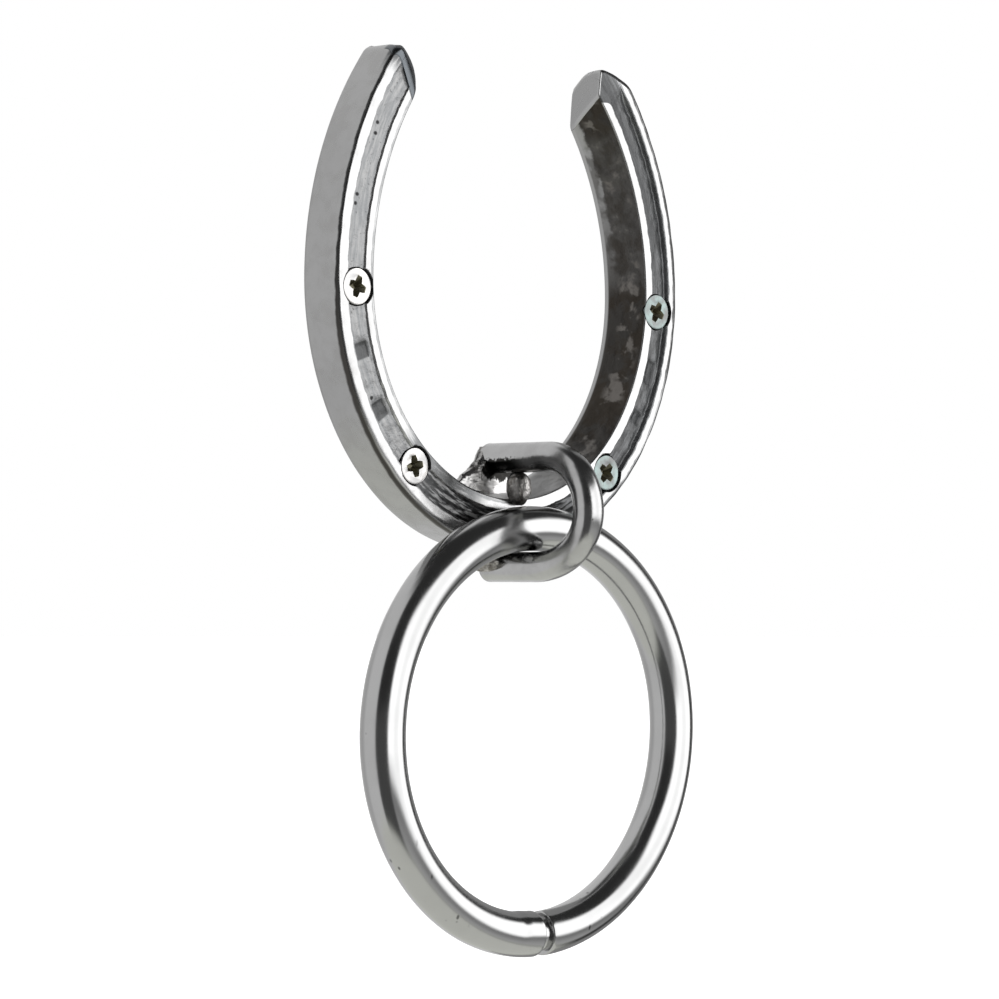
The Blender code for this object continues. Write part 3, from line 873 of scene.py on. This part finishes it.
def build_screw(name, turn, metal, grime):
    """A countersunk screw with a low crown, a cross recess and a thread."""
    low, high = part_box(name)
    length = high.y - low.y
    rim = -HEAD_CROWN - HEAD_RIM
    neck = rim - HEAD_RADIUS + SHANK_RADIUS
    count = int((length + neck) / THREAD_PITCH * ROWS_PER_TURN)
    profile = [(SHANK_RADIUS - 0.5 * MM, -length), (SHANK_RADIUS - 0.1 * MM, -length + 0.4 * MM)]
    for i in range(count):
        height = -length + THREAD_START + (length + neck - THREAD_START - THREAD_STOP) * i / (count - 1)
        profile.append((SHANK_RADIUS, height))
    thread_top = profile[-1][1]
    profile += [(SHANK_RADIUS, neck), (HEAD_RADIUS - 0.05 * MM, rim - 0.05 * MM), (HEAD_RADIUS, rim)]
    profile += [(HEAD_RADIUS, -HEAD_CROWN), (HEAD_RADIUS - 0.07 * MM, -0.3 * HEAD_CROWN)]
    profile += [(HEAD_RADIUS - HEAD_CROWN, -0.02 * MM), (HEAD_RADIUS - 0.5 * MM, 0)]

    def thread(angle, radius, height):
        if height > thread_top or radius < SHANK_RADIUS:
            return radius
        phase = (height / THREAD_PITCH - angle / FULL_TURN) % 1
        return radius - THREAD_DEPTH * abs(2 * phase - 1)

    screw = add_object("fitted_" + name, lathe(profile, SCREW_SIDES, thread), metal)
    cut(screw, recess_cutter(grime))
    screw.data.set_sharp_from_angle(angle=math.radians(SCREW_CREASE))
    place = Vector(((low.x + high.x) / 2, low.y, (low.z + high.z) / 2))
    spin = Matrix.Rotation(math.radians(turn), 4, "Y")
    screw.data.transform(Matrix.Translation(place) @ spin @ TO_THE_FRONT)
    settle(screw, name)


# -------- shackle and welds

BAR_SIDES = 56
BEND_STATIONS = 72
LEG_STATIONS = 16
END_ROUNDING = 0.9 * MM
END_STEPS = 5
END_LOOPS = (0.7, 0.35, 0.1)
LEG_END_ROOM = 0.5 * MM
BAR_DENT = 0.03 * MM


def shackle_path():
    """(centre, direction out of the U in its plane), from the upper leg's end to the lower leg's."""
    low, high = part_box("shackle")
    leg_end = high.y - LEG_END_ROOM
    lower_z = low.z + SHACKLE_BAR
    bend = (UPPER_LEG_Z - lower_z) / 2
    middle_z = (UPPER_LEG_Z + lower_z) / 2
    nose_y = low.y + SHACKLE_BAR
    path = []
    for i in range(LEG_STATIONS):
        y = leg_end + (nose_y + bend - leg_end) * i / LEG_STATIONS
        path.append((Vector((0, y, UPPER_LEG_Z)), Vector((0, 0, 1))))
    for i in range(BEND_STATIONS + 1):
        turn = math.pi * i / BEND_STATIONS
        reach = bend if turn <= math.pi / 2 else LOWER_SWEEP
        centre = Vector((0, nose_y + reach * (1 - math.sin(turn)), middle_z + bend * math.cos(turn)))
        outward = Vector((0, -math.sin(turn) / reach, math.cos(turn) / bend)).normalized()
        path.append((centre, outward))
    for i in range(1, LEG_STATIONS + 1):
        y = nose_y + LOWER_SWEEP + (leg_end - nose_y - LOWER_SWEEP) * i / LEG_STATIONS
        path.append((Vector((0, y, lower_z)), Vector((0, 0, -1))))
    return path


def bar_row(centre, across, up, radius, dent=0.0):
    """A loop of the bar's surface, worn in by up to about twice the dent."""
    row = []
    for a in turns(BAR_SIDES):
        direction = across * math.cos(a) + up * math.sin(a)
        point = centre + direction * radius
        worn_by = dent * (1 + noise.noise(point / (3 * MM)))
        row.append(point - direction * worn_by)
    return row


def end_rows(centre, outward, across, up):
    """Rows that round off a leg's end and close its flat, which lies a rounding beyond the centre."""
    rows = []
    for step in range(1, END_STEPS + 1):
        turn = math.pi / 2 * step / END_STEPS
        ring_centre = centre + outward * END_ROUNDING * math.sin(turn)
        radius = SHACKLE_BAR - END_ROUNDING * (1 - math.cos(turn))
        rows.append(bar_row(ring_centre, across, up, radius))
    for share in END_LOOPS:
        flat = (SHACKLE_BAR - END_ROUNDING) * share
        rows.append(bar_row(centre + outward * END_ROUNDING, across, up, flat))
    return rows


def build_shackle():
    across = Vector((1, 0, 0))
    back = Vector((0, 1, 0))
    path = shackle_path()
    rows = [bar_row(centre, across, up, SHACKLE_BAR, BAR_DENT) for centre, up in path]
    ends = []
    for place in (0, -1):
        centre, up = path[place]
        start = centre - back * (END_ROUNDING - LEG_END_ROOM)
        rows[place] = bar_row(start, across, up, SHACKLE_BAR)
        ends.append(end_rows(start, back, across, up))
    head, tail = ends
    tools = skin(list(reversed(head)) + rows + tail)
    settle(add_object("bent_shackle", tools, bar_material("satin_bar", 0.47, leg_shade_and_soot)), "shackle")


# The rear weld's flared skirt: heights above the origin and its half-width there, in mm.
FLARE = ((18, 2.4), (16.4, 3.7), (15, 4.6), (13.6, 6.2), (12.4, 8), (11.2, 9.8), (10, 11), (8, 11.5), (5, 11))
FLARE_SIDES = 96
FLARE_STEPS = 8
FLARE_LUMP = 0.06
WELD_SUBDIVISIONS = 6
# Noise as (scale, strength), the largest lumps first.
FLARE_NOISE = ((0.4, 1), (1.0, 0.6), (2.3, 0.35))
WELD_NOISE = ((0.45, 1), (1.1, 0.55), (2.6, 0.3))


def shrunk(spot, layers, lump):
    """How much of its size a bead keeps at a spot in mm, with lumps of a share of the size."""
    return 1 - lump * (1 + sum(strength * noise.noise(spot * scale) for scale, strength in layers))


def build_flare(node, finish):
    """A ragged skirt that widens from the upper leg's end down onto the toe."""
    low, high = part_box(node)
    middle_y = (low.y + high.y) / 2
    half_depth = (high.y - low.y) / 2
    rows = []
    for (z_from, wide_from), (z_to, wide_to) in zip(FLARE, FLARE[1:]):
        for step in range(FLARE_STEPS):
            t = step / FLARE_STEPS
            z = (z_from + (z_to - z_from) * t) * MM
            wide = (wide_from + (wide_to - wide_from) * t) * MM
            row = []
            for a in turns(FLARE_SIDES):
                x, y = wide * math.cos(a), half_depth * math.sin(a)
                kept = shrunk(Vector((x, y, z)) / MM, FLARE_NOISE, FLARE_LUMP)
                row.append((x * kept, middle_y + y * kept, z))
            rows.append(row)
    settle(add_object("bead_" + node, skin(rows), finish), node)


def build_weld(node, finish, seed, lump):
    """A bead: an ellipsoid in the CAD bead's box, with ripples and fine lumps."""
    low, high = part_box(node)
    centre = (low + high) / 2
    half = (high - low) / 2
    tools = bmesh.new()
    bmesh.ops.create_icosphere(tools, subdivisions=WELD_SUBDIVISIONS, radius=1)
    for vert in tools.verts:
        reach = vert.co * half
        kept = shrunk((centre + reach) / MM + Vector((seed, 0, 0)), WELD_NOISE, lump)
        vert.co = centre + reach * kept
    settle(add_object("bead_" + node, tools, finish), node)


# -------- ring

RING_STATIONS = 420
RING_BEND = RING_OUTER_RADIUS - RING_BAR  # radius of the bar's centre line
RING_ACROSS = Vector((0, 1, 0))
RING_RIPPLE = 0.015 * MM
JOINT_EDGE = 0.35 * MM
JOINT_STEPS = 4
JOINT_LOOPS = (0.75, 0.4, 0.1)
PIN_EDGE = 0.3 * MM
PIN_STEPS = 24
PIN_DENT = 0.12 * MM
PIN_SIDES = 64
PIN_CREASE = 50  # degrees


def ring_place(turn, centre):
    """(centre of the bar, outward direction) at an angle from the ring's lowest point."""
    outward = Vector((math.sin(turn), 0, -math.cos(turn)))
    return centre + outward * RING_BEND, outward


def ring_centre():
    low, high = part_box("ring")
    return Vector(((low.x + high.x) / 2, (low.y + high.y) / 2, high.z - RING_OUTER_RADIUS))


def ring_row(turn, centre, radius, last):
    """A loop of the ring's surface, which swells inwards near its left end at the angle last."""
    middle, outward = ring_place(turn, centre)
    to_end = (last - turn) * RING_BEND
    swell = RING_END_SWELL * smooth_step((SWELL_LENGTH + SWELL_RUN - to_end) / SWELL_RUN)
    row = []
    for a in turns(BAR_SIDES):
        direction = RING_ACROSS * math.cos(a) + outward * math.sin(a)
        inner = smooth_step(0.4 - math.sin(a))
        point = middle + direction * radius
        ripple = RING_RIPPLE * (1 + noise.noise(point / (6 * MM)))
        row.append(middle + direction * (radius + swell * inner - ripple))
    return row


def ring_end(end, onward, centre, last):
    """Rows that round off and close one end of the bar. onward is 1 at the right end, -1 at the left."""
    rows = []
    for step in range(1, JOINT_STEPS + 1):
        turn = math.pi / 2 * step / JOINT_STEPS
        along = onward * (1 - math.sin(turn)) * JOINT_EDGE / RING_BEND
        rows.append(ring_row(end + along, centre, RING_BAR - JOINT_EDGE * (1 - math.cos(turn)), last))
    middle, outward = ring_place(end, centre)
    for share in JOINT_LOOPS:
        rows.append(bar_row(middle, RING_ACROSS, outward, (RING_BAR - JOINT_EDGE) * share))
    return rows


def build_ring():
    centre = ring_centre()
    first, last = RING_RIGHT_END / RING_BEND, FULL_TURN - RING_LEFT_END / RING_BEND
    edge = JOINT_EDGE / RING_BEND
    rows = []
    for i in range(RING_STATIONS + 1):
        turn = first + edge + (last - first - 2 * edge) * i / RING_STATIONS
        rows.append(ring_row(turn, centre, RING_BAR, last))
    head = ring_end(first, 1, centre, last)
    tail = ring_end(last, -1, centre, last)
    tools = skin(list(reversed(head)) + rows + tail)
    settle(add_object("polished_ring", tools, ring_material()), "ring")


def build_pin():
    """The stud that shows in the ring's joint."""
    low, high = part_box("ring_joint_pin")
    half = (high.x - low.x) / 2
    edge = PIN_EDGE
    profile = [(PIN_RADIUS - edge, -half), (PIN_RADIUS - 0.3 * edge, -half + 0.3 * edge)]
    for i in range(PIN_STEPS + 1):
        height = -half + edge + (2 * half - 2 * edge) * i / PIN_STEPS
        profile.append((PIN_RADIUS, height))
    profile += [(PIN_RADIUS - 0.3 * edge, half - 0.3 * edge), (PIN_RADIUS - edge, half)]

    def dented(angle, radius, height):
        spot = Vector((math.cos(angle) * 2, math.sin(angle) * 2, height / MM))
        return radius - PIN_DENT * (1 + noise.noise(spot * 0.9))

    finish = bar_material("stud_steel", 0.5)
    pin = add_object("joint_stud", lathe(profile, PIN_SIDES, dented), finish, PIN_CREASE)
    turn = Matrix.Rotation(math.pi / 2, 4, "Y")
    pin.data.transform(Matrix.Translation((low + high) / 2) @ turn)
    settle(pin, "ring_joint_pin")


# -------- riding, studio and camera

# The body of each CAD node, from the imported record.
BODY_OF = {}


def read_record(record):
    for body, nodes in record["behaviour"]["bodies"].items():
        for node in nodes:
            BODY_OF[node] = body


def settle(piece, node):
    """The piece stands for a CAD node and rides on the same body."""
    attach(piece, BODY_OF[node])
    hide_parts(node)


def camera_axes():
    """(right, up, forward) of the camera."""
    level = math.cos(CAMERA_PITCH)
    forward = Vector((math.sin(CAMERA_YAW) * level, math.cos(CAMERA_YAW) * level, math.sin(CAMERA_PITCH)))
    right = Vector((math.cos(CAMERA_YAW), -math.sin(CAMERA_YAW), 0))
    tilt = Matrix.Rotation(CAMERA_ROLL, 3, forward)
    return tilt @ right, tilt @ right.cross(forward), forward


def add_camera():
    right, up, forward = camera_axes()
    lens = bpy.data.cameras.new("camera")
    lens.sensor_width = CAMERA_SENSOR
    lens.lens = CAMERA_LENS
    lens.clip_start = CAMERA_NEAR
    camera = bpy.data.objects.new("camera", lens)
    turned = Matrix((right, up, -forward)).transposed().to_4x4()
    camera.matrix_world = Matrix.Translation(CAMERA_PLACE) @ turned
    bpy.context.scene.collection.objects.link(camera)
    bpy.context.scene.camera = camera


# The studio's panels: azimuth range (0 is the camera's side, positive to its right), elevation range,
# softness of the sides and of the ends, all in degrees, and radiance. Later panels cover earlier ones.
# A range that ends at 400 goes on past the end of the sky.
STUDIO_PANELS = (
    (-400, 400, -40, 400, 8, 10, 0.04),
    (-400, -35, -60, 66, 9, 14, 0.84),
    (-148, -106, -30, 25, 24, 20, 0.62),
    (-31, 24, -38, 8, 10, 10, 0.1),
    (24, 122, -40, -8, 10, 6, 0.6),
    (24, 122, -26, -8, 10, 24, 0.27),
    (27, 116, -11, 34, 12, 12, 2.35),
    (58, 84, -8, 30, 20, 12, 1.95),
    (140, 400, -40, 66, 16, 14, 0.34),
)
FLOOR_RADIANCE = 0.84
FLOOR_TINT = (1.0, 1.012, 0.94, 1.0)


def add_studio():
    """A world of soft panels that the metal mirrors. The camera itself sees plain white."""
    right, _, forward = camera_axes()
    graph = Graph(bpy.data.worlds.new("studio"))
    graph.tree.nodes.clear()
    bpy.context.scene.world = graph.holder
    direction = graph.add("ShaderNodeTexCoord", output="Generated")

    def along(axis):
        return graph.add("ShaderNodeVectorMath", {0: direction, 1: axis}, "Value", operation="DOT_PRODUCT")

    level = Vector((forward.x, forward.y, 0)).normalized()
    azimuth = graph.math("DEGREES", graph.math("ARCTAN2", along(right), along(-level)))
    elevation = graph.math("DEGREES", graph.math("ARCSINE", along(Vector((0, 0, 1)))))
    value = FLOOR_RADIANCE
    for az_from, az_to, el_from, el_to, az_soft, el_soft, radiance in STUDIO_PANELS:
        across = graph.band(azimuth, az_from, az_to, az_soft)
        mask = graph.product(across, graph.band(elevation, el_from, el_to, el_soft))
        value = graph.blend(mask, value, radiance)
    tint = graph.mix(graph.span(elevation, -42, -34), FLOOR_TINT, grey(1.0))
    studio = graph.add("ShaderNodeBackground", {"Color": tint, "Strength": value})
    white = graph.add("ShaderNodeBackground", {"Color": grey(1.0)})
    seen = graph.add("ShaderNodeLightPath", output="Is Camera Ray")
    chosen = graph.add("ShaderNodeMixShader", {0: seen, 1: studio, 2: white})
    graph.add("ShaderNodeOutputWorld", {0: chosen})


FLOOR_RADIUS = 4.0
FLOOR_SIDES = 96
FLOOR_DROP = 2.5 * MM
FLOOR_GLOW = 0.85


def add_floor(lowest):
    """A floor just under the object, which glows a little to look as pale as the background."""
    tools = bmesh.new()
    bmesh.ops.create_circle(tools, cap_ends=True, segments=FLOOR_SIDES, radius=FLOOR_RADIUS)
    graph = Graph(bpy.data.materials.new("pale_floor"))
    graph.surface({"Base Color": grey(0.93), "Roughness": 0.9, "Specular IOR Level": 0.0})
    graph.surface({"Emission Color": grey(1.0), "Emission Strength": FLOOR_GLOW})
    floor = add_object("floor", tools, graph.holder)
    floor.location.z = lowest - FLOOR_DROP
    floor.visible_glossy = False


# -------- the scene

WELD_SEED_STEP = 40
WELD_LUMPS = {
    "upper_front_weld": 0.06,
    "lower_left_weld": 0.08,
    "lower_right_weld": 0.08,
}


def plain_box(bounds):
    return [[float(value) for value in corner] for corner in bounds]


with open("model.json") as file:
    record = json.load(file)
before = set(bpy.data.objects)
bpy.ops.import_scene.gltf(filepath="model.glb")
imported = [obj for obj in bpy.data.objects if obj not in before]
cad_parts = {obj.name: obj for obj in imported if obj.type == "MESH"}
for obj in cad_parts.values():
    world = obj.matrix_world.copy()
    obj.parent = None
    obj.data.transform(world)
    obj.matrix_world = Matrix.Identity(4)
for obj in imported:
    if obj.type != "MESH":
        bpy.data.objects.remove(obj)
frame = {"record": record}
cad_box = plain_box(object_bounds())
read_record(frame["record"])
add_camera()
add_studio()
add_floor(cad_box[0][2])
build_horseshoe()
zinc = screw_material()
grime = grime_and_shade_material("grimy_recess", grey(0.05, 0.12), GRIME_OLIVE, 0.45, 0.6)
for screw_name, screw_turn in SCREW_TURNS.items():
    build_screw(screw_name, screw_turn, zinc, grime)
build_shackle()
bead = weld_material()
build_flare("upper_rear_weld", flare_material())
for seed, (weld_node, lump_size) in enumerate(WELD_LUMPS.items()):
    build_weld(weld_node, bead, WELD_SEED_STEP * seed, lump_size)
build_ring()
build_pin()
bpy.context.scene.view_settings.view_transform = "Standard"
